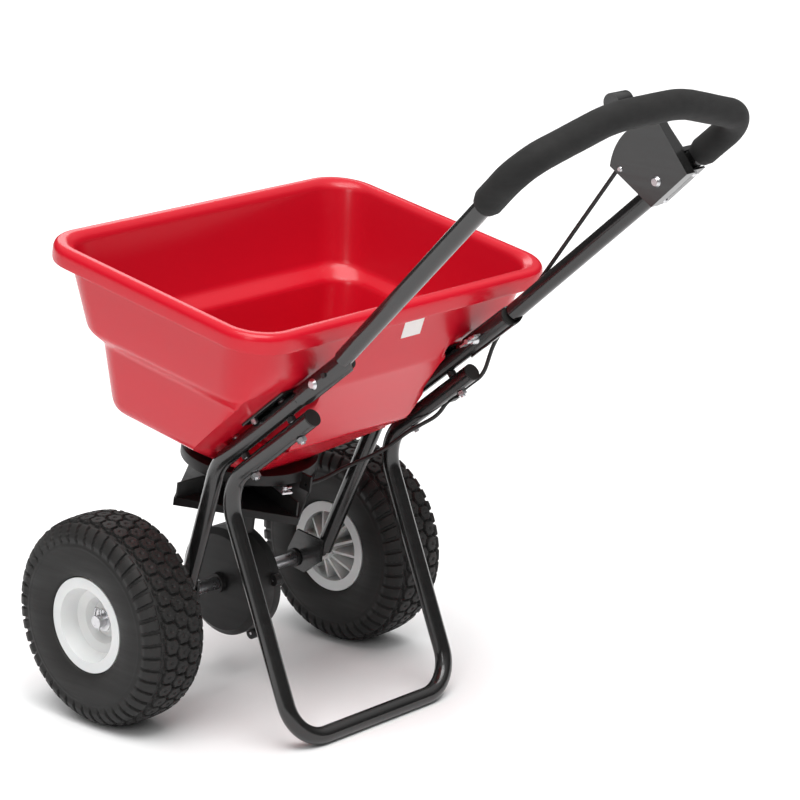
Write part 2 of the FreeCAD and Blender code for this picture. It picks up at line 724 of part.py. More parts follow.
eye = Part.makeCylinder(4.4, 3.0, eye_at).cut(Part.makeCylinder(2.25, 3.0, eye_at))
eye_centre = Vector(arm_pin.x, arm_pin.y, wire_up)
to_anchor = (Vector(anchor_in, anchor_back, wire_up) - eye_centre).normalize()
barrel = Part.makeCylinder(1.4, 6.5, eye_centre + to_anchor * 3.9, to_anchor)
piece("cable_eye", shaped(eye.fuse(barrel).removeSplitter(), "CableEye"))

# ---------------------------------------------------------------- gearbox
seam = 0.05
neck_bush_radius = 10.2
case_screw_spots = [on_circle(76, angle) for angle in (-125, -55, 20, 160)]


def drum_half(side):
    """Half of the round gear case: a dished shell, its rim flange and half of the neck."""
    face = c.drum_left if side < 0 else c.drum_right
    body, planes = new_body("Drum")
    wall_in = face - c.drum_wall
    ring = [(seam, c.drum_radius), (face - 6, c.drum_radius), (face, c.drum_radius - 8), (face, 13),
            (face + 6, 13), (face + 6, c.axle_radius + 0.3), (wall_in, c.axle_radius + 0.3),
            (wall_in, c.drum_radius - 9), (face - 7.5, c.drum_radius - c.drum_wall),
            (seam, c.drum_radius - c.drum_wall)]
    revolve(body, planes, [(across * side, up) for across, up in ring])
    half_space = block(60, 80, 80, (seam if side > 0 else -60 - seam, -40, 60))
    neck = doc.addObject("Part::Common", "Neck")
    neck.Base = cylinder(c.neck_radius, c.neck_top - 66, (0, 0, 66))
    neck.Tool = half_space
    lug_at = seam if side > 0 else -seam - 5
    lugs = [cylinder(7.5, 5.0, (lug_at, spot.x, spot.y), "x") for spot in case_screw_spots]
    screw_bores = [cylinder(1.9, 60, (-30, spot.x, spot.y), "x") for spot in case_screw_spots]
    cavity = cylinder(c.drum_radius - 9.2, 2 * wall_in, (-wall_in, 0, 0), "x")
    return cut(fuse(body, neck, *lugs), cylinder(neck_bush_radius, 60, (0, 0, 50)), cavity, *screw_bores)


piece("gearbox_left_shell", drum_half(-1))
piece("gearbox_right_shell", drum_half(1))


def case_screw(spot):
    head = cone(3.8, 2.9, 2.8, (5.1, spot.x, spot.y), "x")
    return fuse(head, cylinder(1.8, 10, (-4.9, spot.x, spot.y), "x"))


piece("gearbox_screws", *[case_screw(spot) for spot in case_screw_spots])
neck_bush = cylinder(neck_bush_radius, 44, (0, 0, 56.5))
piece("neck_bush", cut(neck_bush, cylinder(c.shaft_radius + c.running_gap, 50, (0, 0, 54))))

# Crown gear: teeth on a disc's face, fixed on the axle. The pinion stands over it.
pitch_plane = -12.5
tooth_pitch = 2 * math.pi * driving["crown_radius"] / driving["crown_teeth"]
body, planes = new_body("CrownGear")
disc_face = pitch_plane - 2.4
gear_edge = c.crown_radius + c.face_width / 2 + 2
ring = [(disc_face - 6, gear_edge), (disc_face, gear_edge), (disc_face, 18), (disc_face + 8, 16),
        (disc_face + 8, c.axle_radius), (disc_face - 8, c.axle_radius), (disc_face - 8, 16),
        (disc_face - 6, 18)]
revolve(body, planes, ring)
root, tip_half = tooth_pitch * 0.27, tooth_pitch * 0.13
tooth_line = [(disc_face - 1, -root), (disc_face - 1, root), (disc_face + c.tooth_height, tip_half),
              (disc_face + c.tooth_height, -tip_half)]
sketch = outline(body, planes["XY_Plane"], tooth_line, "ToothLine")
tooth_from = driving["crown_radius"] - driving["face_width"] / 2
sketch.AttachmentOffset = Placement(Vector(0, 0, tooth_from), Rotation())
tooth = pad(body, sketch, c.face_width, "Tooth")
repeat(body, tooth, planes["X_Axis"], c.crown_teeth)
piece("crown_gear", cut(body, cylinder(2.0, 60, (pin_across, 0, -30))))
piece("crown_pin", cylinder(1.95, 30, (pin_across, 0, -15)))

body, planes = new_body("Pinion")
pinion_pitch = driving["pinion_teeth"] * tooth_pitch / (2 * math.pi)
root_radius = pinion_pitch - 2.6
low = tooth_from - 1
high = low + c.face_width + 2
core = [(c.shaft_radius, low), (root_radius, low), (root_radius, high), (c.shaft_radius, high)]
turned_core = body.newObject("PartDesign::Revolution", "Core")
turned_core.Profile = outline(body, planes["XZ_Plane"], core)
turned_core.ReferenceAxis = (planes["Z_Axis"], [""])
turned_core.Angle = 360.0
half_step = math.pi / driving["pinion_teeth"]
flank = [(root_radius - 0.6, -tooth_pitch * 0.24), (pinion_pitch + 1.9, -tooth_pitch * 0.10),
         (pinion_pitch + 1.9, tooth_pitch * 0.10), (root_radius - 0.6, tooth_pitch * 0.24)]
gap_turn = Rotation(Vector(0, 0, 1), math.degrees(math.pi + half_step))
corners = [gap_turn.multVec(Vector(a, b, 0)) for a, b in flank]
sketch = outline(body, planes["XY_Plane"], [(corner.x, corner.y) for corner in corners], "ToothLine")
sketch.AttachmentOffset = Placement(Vector(0, 0, low), Rotation())
tooth = pad(body, sketch, c.face_width + 2, "Tooth")
repeat(body, tooth, planes["Z_Axis"], c.pinion_teeth)
piece("pinion", body)

impeller_place = Placement(Vector(), Rotation(Vector(0, 0, 1), 45 + driving["impeller_turn"]))
impeller_pin_up = driving["impeller_top"] - driving["impeller_thick"] - 9
agitator_up = 205.0
shaft = cylinder(c.shaft_radius, c.shaft_top - 40, (0, 0, 40))
turned_hole = doc.addObject("Part::Compound", "Holes")
turned_hole.Links = [cylinder(2.0, 30, (-15, 0, impeller_pin_up), "x")]
turned_hole.Placement = impeller_place
piece("pinion_shaft", cut(shaft, turned_hole, cylinder(2.1, 30, (0, -15, agitator_up), "y")))
collar = cylinder(9.5, 3, (0, 0, c.neck_top + 3.0))
piece("thrust_washer", cut(collar, cylinder(c.shaft_radius, 6, (0, 0, c.neck_top + 2))))

# ---------------------------------------------------------------- impeller and agitator
plate_low = driving["impeller_top"] - driving["impeller_thick"]


def square_plate(half, thick, low):
    return block(half * 2, half * 2, thick, (-half, -half, low))


plate = square_plate(c.impeller_half, c.impeller_thick, plate_low)
skirt = cut(square_plate(c.impeller_half, 9, plate_low - 8),
            square_plate(c.impeller_half - 2.5, 20, plate_low - 12))
hub = cylinder(13, 37, (0, 0, plate_low - 14))
vane_half, vane_start = 1.3, 10.0
reach = driving["impeller_half"] * math.sqrt(2) - 4
vane_foot = driving["impeller_top"] - 1
tip_up, root_up = [driving["impeller_top"] + driving[name] for name in ("vane_tip", "vane_root")]
vane_line = [(vane_start, vane_foot), (reach, vane_foot), (reach, tip_up), (vane_start, root_up),
             (vane_start, vane_foot)]
vanes = []
for quarter in range(4):
    fin_face = Part.Face(Part.makePolygon([Vector(out, -vane_half, up) for out, up in vane_line]))
    fin = fin_face.extrude(Vector(0, 2 * vane_half, 0))
    fin.Placement = Placement(Vector(), Rotation(Vector(0, 0, 1), 45 + 90 * quarter))
    vanes.append(shaped(fin, "Vane"))
rotor = cut(fuse(plate, skirt, hub, *vanes), cylinder(c.shaft_radius, 80, (0, 0, 90)),
            cylinder(2.0, 30, (-15, 0, impeller_pin_up), "x"))
piece("impeller", rotor, frame=impeller_place)
piece("impeller_pin", cylinder(1.95, 25.6, (-12.8, 0, impeller_pin_up), "x"), frame=impeller_place)
stirrer = tangent_path([(0, -44, agitator_up - 6), (0, -30, agitator_up), (0, 30, agitator_up),
                        (0, 44, agitator_up + 6)], [12, 12])
piece("agitator", swept_rod(stirrer, 2.05))

# ---------------------------------------------------------------- control on the handle
arc_radius = 71.0


def polar(radius, degrees):
    """A point of the arc about the pivot; 0 degrees is straight out, positive is up the handle."""
    angle = math.radians(degrees)
    return (pivot_out + radius * math.cos(angle), pivot_up + radius * math.sin(angle))


def sector(radius, start, thick, low_edge, from_angle=-41, to_angle=43):
    """The control's side shape: an arc about the pivot over a straight lower edge."""
    first = polar(radius, from_angle)
    last = polar(radius, to_angle)
    middle = polar(radius, (from_angle + to_angle) / 2)
    low_back = (low_edge, pivot_up + 44)
    low_front = (low_edge, pivot_up - 26)
    spots = [Vector(start, y, z) for y, z in (first, middle, last, low_back, low_front)]
    edges = [Part.Arc(spots[0], spots[1], spots[2]).toShape(), Part.LineSegment(spots[2], spots[3]).toShape(),
             Part.LineSegment(spots[3], spots[4]).toShape(), Part.LineSegment(spots[4], spots[0]).toShape()]
    return Part.Face(Part.Wire(edges)).extrude(Vector(thick, 0, 0))


along_x = Vector(1, 0, 0)
outwards = Vector(0, 1, 0)
pivot = Vector(0, pivot_out, pivot_up)


def local_cylinder(radius, length, across, outward, along, heading=along_x):
    return Part.makeCylinder(radius, length, Vector(across, outward, along), heading)


def local_screw(radius, head_radius, length, across, outward, along, heading):
    """A screw whose tapered head stands on the given point and whose shank goes the other way."""
    spot = Vector(across, outward, along)
    head = Part.makeCone(head_radius, head_radius * 0.68, head_radius * 0.54, spot, heading)
    return head.fuse(local_cylinder(radius, length, across, outward, along, -heading)).removeSplitter()


shell_wall = 2.6
cable_exit = Vector(158, 46, -31)
cable_lead = Vector(165.5, -277, 452)
exit_way = (control_place.inverse().multVec(cable_lead) - cable_exit).normalize()
case_screw_at = (41, -25)
cover = sector(arc_radius, cover_in, cover_out - cover_in, -20)
cover = cover.cut(sector(arc_radius - shell_wall, cover_in + shell_wall, 30, shell_wall - 20, -38, 40))
cover = cover.cut(sector(arc_radius + 5, 158.6, 4.4, 20, -8, 40))
for hole in (local_cylinder(4.1, 80, cover_in - 5, pivot_out, pivot_up),
             local_cylinder(1.9, 12, cover_in - 1, *case_screw_at),
             Part.makeCylinder(2.9, 14, cable_exit - exit_way * 5, exit_way)):
    cover = cover.cut(hole)
piece("control_cover", shaped(cover, "ControlCover"), frame=control_place)

base = sector(arc_radius - 4, 168.2, 3.0, 11.3, -38, 40)
base = base.fuse(Part.makeBox(25, 6, 62, Vector(170.5, 11.3, pivot_up - 22)))
base = base.fuse(Part.makeBox(3.3, 6, 12, Vector(cover_out, 52, -22)))
piece("control_base", shaped(base.removeSplitter(), "ControlBase"), frame=control_place)

# A notched scale stands out past the cover's arc and shows the rate.
scale_radius = arc_radius + 5
scale = sector(scale_radius, 166.6, 1.4, 56, -37, -9)
scale = scale.common(local_cylinder(scale_radius, 10, 160, pivot_out, pivot_up))
scale = scale.common(Part.makeBox(10, 60, 40, Vector(160, 40, -42)))
for step in range(7):
    scale = scale.cut(local_cylinder(1.3, 6, 164, *polar(scale_radius, -35 + 4 * step)))
scale = scale.cut(Part.makeBox(2, 6.4, 12.4, Vector(166.4, 51.8, -22.2)))
piece("scale_plate", shaped(scale, "ScalePlate"), frame=control_place)

stop_angle = 34.0
stop_block = Part.makeBox(17, 11, 13, Vector(167.2, arc_radius - 3.6, -6.5))
stop_screw = local_cylinder(2.4, 8, 176, arc_radius + 7.6, 0, outwards)
stop_screw = stop_screw.fuse(local_cylinder(7.5, 6, 176, arc_radius + 12, 0, outwards)).removeSplitter()
for label, shape in (("rate_stop", stop_block), ("rate_stop_screw", stop_screw)):
    shape.Placement = Placement(pivot, Rotation(along_x, stop_angle))
    piece(label, shaped(shape, "RateStop"), frame=control_place)

lever_angle, lever_reach = 10.0, 105.0
lever_in, lever_thick, lever_half = 159.3, 3.0, 8.0
lever_plate = Part.makeBox(lever_thick, lever_reach, 2 * lever_half, Vector(lever_in, 0, -lever_half))
lever_plate = lever_plate.fuse(local_cylinder(13, lever_thick, lever_in, 0, 0))
lever_plate = lever_plate.cut(local_cylinder(4 + driving["running_gap"], 10, lever_in - 4, 0, 0))
lever_plate.Placement = Placement(pivot, Rotation(along_x, lever_angle))
piece("lever", shaped(lever_plate.removeSplitter(), "Lever"), frame=control_place)
knob = local_cylinder(12, lever_in - 132, 132, *polar(lever_reach - 1, lever_angle))
piece("lever_knob", shaped(knob, "LeverKnob"), frame=control_place)

bolt = local_screw(4.0, 6.6, 52, cover_in, pivot_out, pivot_up, -along_x)
piece("control_bolt", shaped(bolt, "ControlBolt"), frame=control_place)
nut_at = 194.4
nut_bore = cylinder(4.05, 10, (nut_at - 2, pivot_out, pivot_up), "x")
piece("control_nut", cut(prism(7.4, 6.0, (nut_at, pivot_out, pivot_up), "x"), nut_bore), frame=control_place)

strap_across, strap_face = 182.0, -tube_outer - 3.3
strap_spots = [-17, 40]
strap = Part.makeBox(26, 3.0, 76, Vector(strap_across - 13, strap_face, -27))
for up in strap_spots:
    strap = strap.cut(local_cylinder(2.6, 8, strap_across, strap_face - 2, up, outwards))
piece("clamp_strap", shaped(strap, "ClampStrap"), frame=control_place)
small_screws = [local_screw(1.85, 3.4, 9, cover_in, *case_screw_at, -along_x)]
small_screws += [local_screw(2.5, 5.0, 3.2, strap_across, strap_face, up, -outwards) for up in strap_spots]
piece("control_screws", *[shaped(screw, "Screw") for screw in small_screws], frame=control_place)

# ---------------------------------------------------------------- control cable
# One sleeve held all the way: straight from the cover's lower edge to the handle's outer side, along the
# stand tube's lower outer side, under that tube above its lower nut, then across to the base tray's tab.
clip_across, clip_out = 152.4, -36.4
under_out = -44.8
cable_points = [tuple(control_place.multVec(cable_exit)), tuple(cable_lead), on_slope(163, -8, 190),
                on_slope(clip_across, clip_out, 158), on_slope(clip_across, clip_out, 80),
                on_slope(147, under_out, 60), on_slope(121, under_out, 25), (112, -126, 203), (60, -104, 180),
                (anchor_out + 30, anchor_back, wire_up), (anchor_out + 0.1, anchor_back, wire_up)]
cable_path = tangent_path(cable_points, [160, 60, 30, 40, 40, 40, 40, 70, 60])
piece("control_cable", swept_rod(cable_path, c.cable_radius))
print("cable length", round(cable_path.Length, 1))

clip_body = Part.makeBox(13, 14, 12, Vector(driving["stand_half"] + 3, clip_out - 4.6, 90))
tube_centre = Vector(driving["stand_half"], -driving["stand_drop"], 80)
clip_body = clip_body.cut(Part.makeCylinder(tube_outer + 0.2, 40, tube_centre))
cable_centre = Vector(clip_across, clip_out, 80)
clip_body = clip_body.cut(Part.makeCylinder(driving["cable_radius"] + 0.05, 40, cable_centre))
piece("cable_clip", shaped(clip_body, "CableClip"), frame=slope_place)

# ---------------------------------------------------------------- checks and files
os.makedirs("parts", exist_ok=True)
doc.recompute()
for item in doc.Objects:
    if "Invalid" in item.State or "Error" in item.State:
        raise RuntimeError("failed object: " + item.Name + " " + str(item.State))
for item in sub_parts:
    shape = item.Shape
    if shape.isNull() or not shape.isValid():
        raise RuntimeError("bad shape: " + item.Label)
    shape.exportStep("parts/" + item.Label + ".step")
print(len(sub_parts), "sub-parts")
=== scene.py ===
import json
import math
import bpy
import numpy as np
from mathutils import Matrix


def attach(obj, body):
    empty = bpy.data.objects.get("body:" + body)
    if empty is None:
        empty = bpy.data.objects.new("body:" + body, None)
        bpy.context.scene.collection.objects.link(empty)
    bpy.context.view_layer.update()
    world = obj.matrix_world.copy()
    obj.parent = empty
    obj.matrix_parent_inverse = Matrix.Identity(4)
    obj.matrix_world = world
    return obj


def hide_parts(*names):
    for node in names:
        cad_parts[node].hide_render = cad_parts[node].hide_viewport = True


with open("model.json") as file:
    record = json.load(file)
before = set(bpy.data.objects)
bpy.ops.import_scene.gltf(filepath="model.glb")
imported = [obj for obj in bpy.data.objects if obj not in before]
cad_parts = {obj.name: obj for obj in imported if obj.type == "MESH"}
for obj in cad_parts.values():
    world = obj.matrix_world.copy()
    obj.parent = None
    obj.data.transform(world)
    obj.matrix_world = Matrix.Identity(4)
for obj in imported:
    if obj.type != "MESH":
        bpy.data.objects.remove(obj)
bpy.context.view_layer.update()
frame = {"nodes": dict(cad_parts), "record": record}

nodes = frame["nodes"]
leanAngle = math.radians(9.77)  # the whole spreader leans back on its stand
axlePlace = np.array([0.0, 0.27449, 0.135])
slopeAngle = math.radians(42.5)  # the frame tubes lean back by this much
slopeBase = np.array([0.0, -104.9, 250.0])


# helpers for shapes
def deckToRow(points):
    # level hopper frame in mm -> tilted frame in metres: turn about X by the lean, then shift to the axle
    p = np.asarray(points, float) / 1000
    y = p[..., 1] * math.cos(leanAngle) - p[..., 2] * math.sin(leanAngle)
    z = p[..., 1] * math.sin(leanAngle) + p[..., 2] * math.cos(leanAngle)
    return np.stack([p[..., 0], y, z], -1) + axlePlace


def slopeToDeck(points):
    # (across, outward, along) of the frame tube -> level hopper frame: turn about X by the slope, then shift
    p = np.asarray(points, float)
    y = p[..., 1] * math.cos(slopeAngle) - p[..., 2] * math.sin(slopeAngle)
    z = p[..., 1] * math.sin(slopeAngle) + p[..., 2] * math.cos(slopeAngle)
    return np.stack([p[..., 0], y, z], -1) + slopeBase


def smoothStep(low, high, value):
    # 0 below low, 1 above high, and 3t^2 - 2t^3 between
    t = np.clip((value - low) / (high - low), 0, 1)
    return t * t * (3 - 2 * t)


def gridPiece(name, points, material, body, wrapU=False, wrapV=False, capU=False, angle=40):
    # a surface point(u, v) on a grid, joined by quads; wrapU or wrapV closes a direction,
    # and capU closes both u ends with a fan to the ring's centre
    countU, countV = points.shape[:2]
    index = np.arange(countU * countV).reshape(countU, countV)
    if wrapU:
        index = np.concatenate([index, index[:1]], 0)
    if wrapV:
        index = np.concatenate([index, index[:, :1]], 1)
    quads = np.stack([index[:-1, :-1], index[1:, :-1], index[1:, 1:], index[:-1, 1:]], -1).reshape(-1, 4)
    vertices = points.reshape(-1, 3)
    faces = quads.tolist()
    if capU:
        centres = points[[0, -1]].mean(1)
        first = len(vertices)
        vertices = np.concatenate([vertices, centres])
        ends = [(index[0], first, False), (index[-1], first + 1, True)]
        for ring, hub, outward in ends:
            fan = np.stack([ring[:-1], ring[1:], np.full(len(ring) - 1, hub)], -1)
            faces += (fan if outward else fan[:, ::-1]).tolist()
    mesh = bpy.data.meshes.new(name)
    mesh.from_pydata(vertices.tolist(), [], faces)
    mesh.validate()
    piece = bpy.data.objects.new(name, mesh)
    bpy.context.collection.objects.link(piece)
    outsideOut(piece)
    smoothByAngle(mesh, angle)
    mesh.materials.append(material)
    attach(piece, body)
    return piece


def outsideOut(piece):
    # makes a closed surface's faces point outwards
    import bmesh
    work = bmesh.new()
    work.from_mesh(piece.data)
    bmesh.ops.remove_doubles(work, verts=work.verts, dist=1e-6)
    bmesh.ops.recalc_face_normals(work, faces=work.faces)
    work.to_mesh(piece.data)
    work.free()


def smoothByAngle(mesh, degrees):
    mesh.polygons.foreach_set("use_smooth", np.ones(len(mesh.polygons), bool))
    mesh.set_sharp_from_angle(angle=math.radians(degrees))


def roundedLine(corners, radii, arcSteps=14, runStep=14.0):
    # straight runs joined by arcs: at each corner the arc's centre lies on the bisector,
    # at radius / sin(half the angle between the runs)
    corners = np.asarray(corners, float)
    spots = [corners[:1]]
    last = corners[0]
    for corner, before, after, radius in zip(corners[1:-1], corners[:-2], corners[2:], radii):
        back = (before - corner) / np.linalg.norm(before - corner)
        ahead = (after - corner) / np.linalg.norm(after - corner)
        half = math.acos(float(np.clip(back @ ahead, -1, 1))) / 2
        start, end = corner + back * radius / math.tan(half), corner + ahead * radius / math.tan(half)
        middle = (back + ahead) / np.linalg.norm(back + ahead)
        centre = corner + middle * radius / math.sin(half)
        run = np.linspace(last, start, max(2, int(np.linalg.norm(start - last) / runStep)) + 1)[1:]
        turn = math.pi - 2 * half
        t = np.linspace(0, 1, arcSteps + 1)[1:, None]
        a, b = start - centre, end - centre
        arc = centre + (np.sin((1 - t) * turn) * a + np.sin(t * turn) * b) / math.sin(turn)
        spots += [run, arc]
        last = end
    steps = max(2, int(np.linalg.norm(corners[-1] - last) / runStep))
    spots.append(np.linspace(last, corners[-1], steps + 1)[1:])
    return np.concatenate(spots)


def alongLine(line, side):
    # for each point of a line: its heading and two square directions, the first nearest to the given side
    heading = np.gradient(line, axis=0)
    heading /= np.linalg.norm(heading, axis=1, keepdims=True)
    first = side - heading * (heading @ np.asarray(side, float))[:, None]
    first /= np.linalg.norm(first, axis=1, keepdims=True)
    return heading, first, np.cross(heading, first)


def tubeGrid(line, radius, side=(0, 1, 0.35), around=28):
    # a circle carried along a line: point = line + radius * (cos a * first + sin a * second)
    line = np.asarray(line, float)
    heading, first, second = alongLine(line, np.asarray(side, float))
    a = np.linspace(0, 2 * math.pi, around, endpoint=False)
    radius = np.broadcast_to(np.asarray(radius, float), (len(line),))
    return (line[:, None] + radius[:, None, None] *
            (np.cos(a)[None, :, None] * first[:, None] + np.sin(a)[None, :, None] * second[:, None]))


def easedProfile(profile, reach, steps=3):
    # each corner of a closed profile becomes a short curve: q(t) = (1-t)^2 a + 2t(1-t) b + t^2 c
    p = np.asarray(profile, float)
    before, after = np.roll(p, 1, 0), np.roll(p, -1, 0)
    cutBefore = np.minimum(reach / np.linalg.norm(before - p, axis=1), 0.45)[:, None]
    cutAfter = np.minimum(reach / np.linalg.norm(after - p, axis=1), 0.45)[:, None]
    a, c = p + (before - p) * cutBefore, p + (after - p) * cutAfter
    t = np.linspace(0, 1, steps + 1)[None, :, None]
    curve = (1 - t) ** 2 * a[:, None] + 2 * t * (1 - t) * p[:, None] + t ** 2 * c[:, None]
    return curve.reshape(-1, p.shape[1])


# shader groups
def newGroup(name, inputs, outputs):
    group = bpy.data.node_groups.new(name, "ShaderNodeTree")
    for label, value in inputs:
        socket = group.interface.new_socket(label, in_out="INPUT", socket_type="NodeSocketFloat")
        socket.default_value = value
    for label, kind in outputs:
        group.interface.new_socket(label, in_out="OUTPUT", socket_type=kind)
    return group, group.nodes.new("NodeGroupInput"), group.nodes.new("NodeGroupOutput")


def addMath(tree, operation, first, second):
    node = tree.nodes.new("ShaderNodeMath")
    node.operation = operation
    for slot, value in ((0, first), (1, second)):
        if isinstance(value, (int, float)):
            node.inputs[slot].default_value = value
        else:
            tree.links.new(value, node.inputs[slot])
    return node.outputs[0]


def addNoise(tree, vector, scale, detail=3.0, roughness=0.55):
    node = tree.nodes.new("ShaderNodeTexNoise")
    tree.links.new(vector, node.inputs["Vector"])
    if isinstance(scale, (int, float)):
        node.inputs["Scale"].default_value = scale
    else:
        tree.links.new(scale, node.inputs["Scale"])
    node.inputs["Detail"].default_value = detail
    node.inputs["Roughness"].default_value = roughness
    return node.outputs["Fac"]


def buildSurfaceGrain():
    # fine bumps, a slow change of shade and a slow change of gloss
    group, inside, outside = newGroup("surfaceGrain", [("Grain Size", 900.0), ("Patch Size", 14.0)],
                                      [("Grain", "NodeSocketFloat"), ("Patches", "NodeSocketFloat"),
                                       ("Smears", "NodeSocketFloat")])
    place = group.nodes.new("ShaderNodeTexCoord").outputs["Object"]
    group.links.new(addNoise(group, place, inside.outputs["Grain Size"], 2.0), outside.inputs["Grain"])
    group.links.new(addNoise(group, place, inside.outputs["Patch Size"], 4.0), outside.inputs["Patches"])
    stretch = group.nodes.new("ShaderNodeMapping")
    stretch.inputs["Scale"].default_value = (6.0, 1.4, 22.0)
    group.links.new(place, stretch.inputs["Vector"])
    group.links.new(addNoise(group, stretch.outputs["Vector"], 5.0, 5.0, 0.7), outside.inputs["Smears"])
    return group


def buildDust():
    # dust that settles on upward faces and gathers in patches
    group, inside, outside = newGroup("settledDust", [("Amount", 0.2), ("Patch Size", 30.0)],
                                      [("Mask", "NodeSocketFloat")])
    place = group.nodes.new("ShaderNodeTexCoord").outputs["Object"]
    normal = group.nodes.new("ShaderNodeNewGeometry").outputs["Normal"]
    split = group.nodes.new("ShaderNodeSeparateXYZ")
    group.links.new(normal, split.inputs[0])
    upward = addMath(group, "MAXIMUM", addMath(group, "ADD", split.outputs["Z"], 0.25), 0.0)
    patches = addNoise(group, place, inside.outputs["Patch Size"], 5.0, 0.65)
    spots = addMath(group, "MULTIPLY", upward, patches)
    group.links.new(addMath(group, "MULTIPLY", spots, inside.outputs["Amount"]), outside.inputs["Mask"])
    return group


surfaceGrain = buildSurfaceGrain()
settledDust = buildDust()


def mixColour(tree, factor, first, second):
    node = tree.nodes.new("ShaderNodeMix")
    node.data_type = "RGBA"
    tree.links.new(factor, node.inputs["Factor"])
    for slot, value in (("A", first), ("B", second)):
        socket = [s for s in node.inputs if s.name == slot and s.type == "RGBA"][0]
        if isinstance(value, tuple):
            socket.default_value = (*value, 1)
        else:
            tree.links.new(value, socket)
    return [s for s in node.outputs if s.type == "RGBA"][0]


def rangeOf(tree, value, low, high):
    node = tree.nodes.new("ShaderNodeMapRange")
    tree.links.new(value, node.inputs["Value"])
    node.inputs["From Min"].default_value = 0.3
    node.inputs["From Max"].default_value = 0.7
    node.inputs["To Min"].default_value = low
    node.inputs["To Max"].default_value = high
    return node.outputs["Result"]


def finish(name, look):
    # one finish: two close shades in patches, gloss that smears, a fine bump and a little dust
    material = bpy.data.materials.new(name)
    material.use_nodes = True
    tree = material.node_tree
    shader = tree.nodes["Principled BSDF"]
    grain = tree.nodes.new("ShaderNodeGroup")
    grain.node_tree = surfaceGrain
    grain.inputs["Grain Size"].default_value = look.get("grainSize", 900.0)
    grain.inputs["Patch Size"].default_value = look.get("patchSize", 14.0)
    dust = tree.nodes.new("ShaderNodeGroup")
    dust.node_tree = settledDust
    dust.inputs["Amount"].default_value = look.get("dust", 0.05)
    patches = rangeOf(tree, grain.outputs["Patches"], 0.0, 1.0)
    colour = mixColour(tree, patches, look["colour"], look.get("shade", look["colour"]))
    colour = mixColour(tree, dust.outputs["Mask"], colour, look.get("dustColour", (0.32, 0.29, 0.25)))
    tree.links.new(colour, shader.inputs["Base Color"])
    low, high = look["rough"]
    tree.links.new(rangeOf(tree, grain.outputs["Smears"], low, high), shader.inputs["Roughness"])
    bump = tree.nodes.new("ShaderNodeBump")
    bump.inputs["Strength"].default_value = look.get("bump", 0.1)
    bump.inputs["Distance"].default_value = look.get("bumpDepth", 0.0004)
    tree.links.new(grain.outputs["Grain"], bump.inputs["Height"])
    tree.links.new(bump.outputs["Normal"], shader.inputs["Normal"])
    for socket, key in (("Metallic", "metallic"), ("Coat Weight", "coat"), ("Coat Roughness", "coatRough"),
                        ("Specular IOR Level", "specular"), ("Sheen Weight", "sheen"),
                        ("Subsurface Weight", "glow")):
        if key in look:
            shader.inputs[socket].default_value = look[key]
    return material


finishes = {
    "redPlastic": {"colour": (0.56, 0.005, 0.018), "shade": (0.54, 0.0047, 0.017), "rough": (0.26, 0.27),
                   "grainSize": 700.0, "patchSize": 3.0, "bump": 0.03, "coat": 0.12, "coatRough": 0.14,
                   "specular": 0.32, "dust": 0.0},
    "blackPaint": {"colour": (0.008, 0.0078, 0.0078), "shade": (0.011, 0.0107, 0.0107), "rough": (0.16, 0.27),
                   "grainSize": 500.0, "bump": 0.12, "bumpDepth": 0.0003, "coat": 0.3, "coatRough": 0.1,
                   "dust": 0.01},
    "blackPlastic": {"colour": (0.009, 0.0088, 0.0088), "shade": (0.013, 0.0126, 0.0126),
                     "rough": (0.38, 0.52), "grainSize": 1100.0, "bump": 0.25, "specular": 0.35,
                     "dust": 0.02},
    "blackGloss": {"colour": (0.01, 0.01, 0.01), "shade": (0.014, 0.014, 0.014), "rough": (0.12, 0.22),
                   "grainSize": 900.0, "bump": 0.06, "coat": 0.4, "coatRough": 0.08, "dust": 0.01},
    "whitePlastic": {"colour": (0.72, 0.72, 0.715), "shade": (0.68, 0.68, 0.675), "rough": (0.28, 0.4),
                     "grainSize": 800.0, "patchSize": 20.0, "bump": 0.08, "dust": 0.1, "glow": 0.05,
                     "specular": 0.4},
    "tyreRubber": {"colour": (0.0105, 0.0102, 0.01), "shade": (0.015, 0.0145, 0.0142), "rough": (0.5, 0.66),
                   "grainSize": 1300.0, "patchSize": 26.0, "bump": 0.3, "specular": 0.3, "dust": 0.03},
    "foamGrip": {"colour": (0.011, 0.0108, 0.0108), "shade": (0.015, 0.0147, 0.0147), "rough": (0.72, 0.86),
                 "grainSize": 1500.0, "patchSize": 40.0, "bump": 0.55, "bumpDepth": 0.0006,
                 "sheen": 0.03, "specular": 0.25, "dust": 0.01},
    "zincSteel": {"colour": (0.62, 0.62, 0.63), "shade": (0.52, 0.52, 0.54), "rough": (0.22, 0.38),
                  "metallic": 1.0, "grainSize": 1600.0, "patchSize": 120.0, "bump": 0.15, "dust": 0.02},
    "labelPaper": {"colour": (0.8, 0.79, 0.77), "shade": (0.74, 0.74, 0.72), "rough": (0.4, 0.5),
                   "bump": 0.04},
}
look = {name: finish(name, values) for name, values in finishes.items()}
slotFinish = {"red_plastic": "redPlastic", "black_paint": "blackPaint", "black_plastic": "blackPlastic",
              "black_gloss": "blackGloss", "white_plastic": "whitePlastic", "tyre": "tyreRubber",
              "valve_rubber": "tyreRubber", "foam": "foamGrip", "zinc_steel": "zincSteel"}
nodeSlot = {part["node"]: part["material_slot"] for part in frame["record"]["subparts"]}
for nodeName, item in nodes.items():
    finishName = slotFinish[nodeSlot[nodeName]]
    if not item.data.materials:
        item.data.materials.append(look[finishName])
    for slot in item.material_slots:
        slot.material = look[finishName]
print("finishes ready")

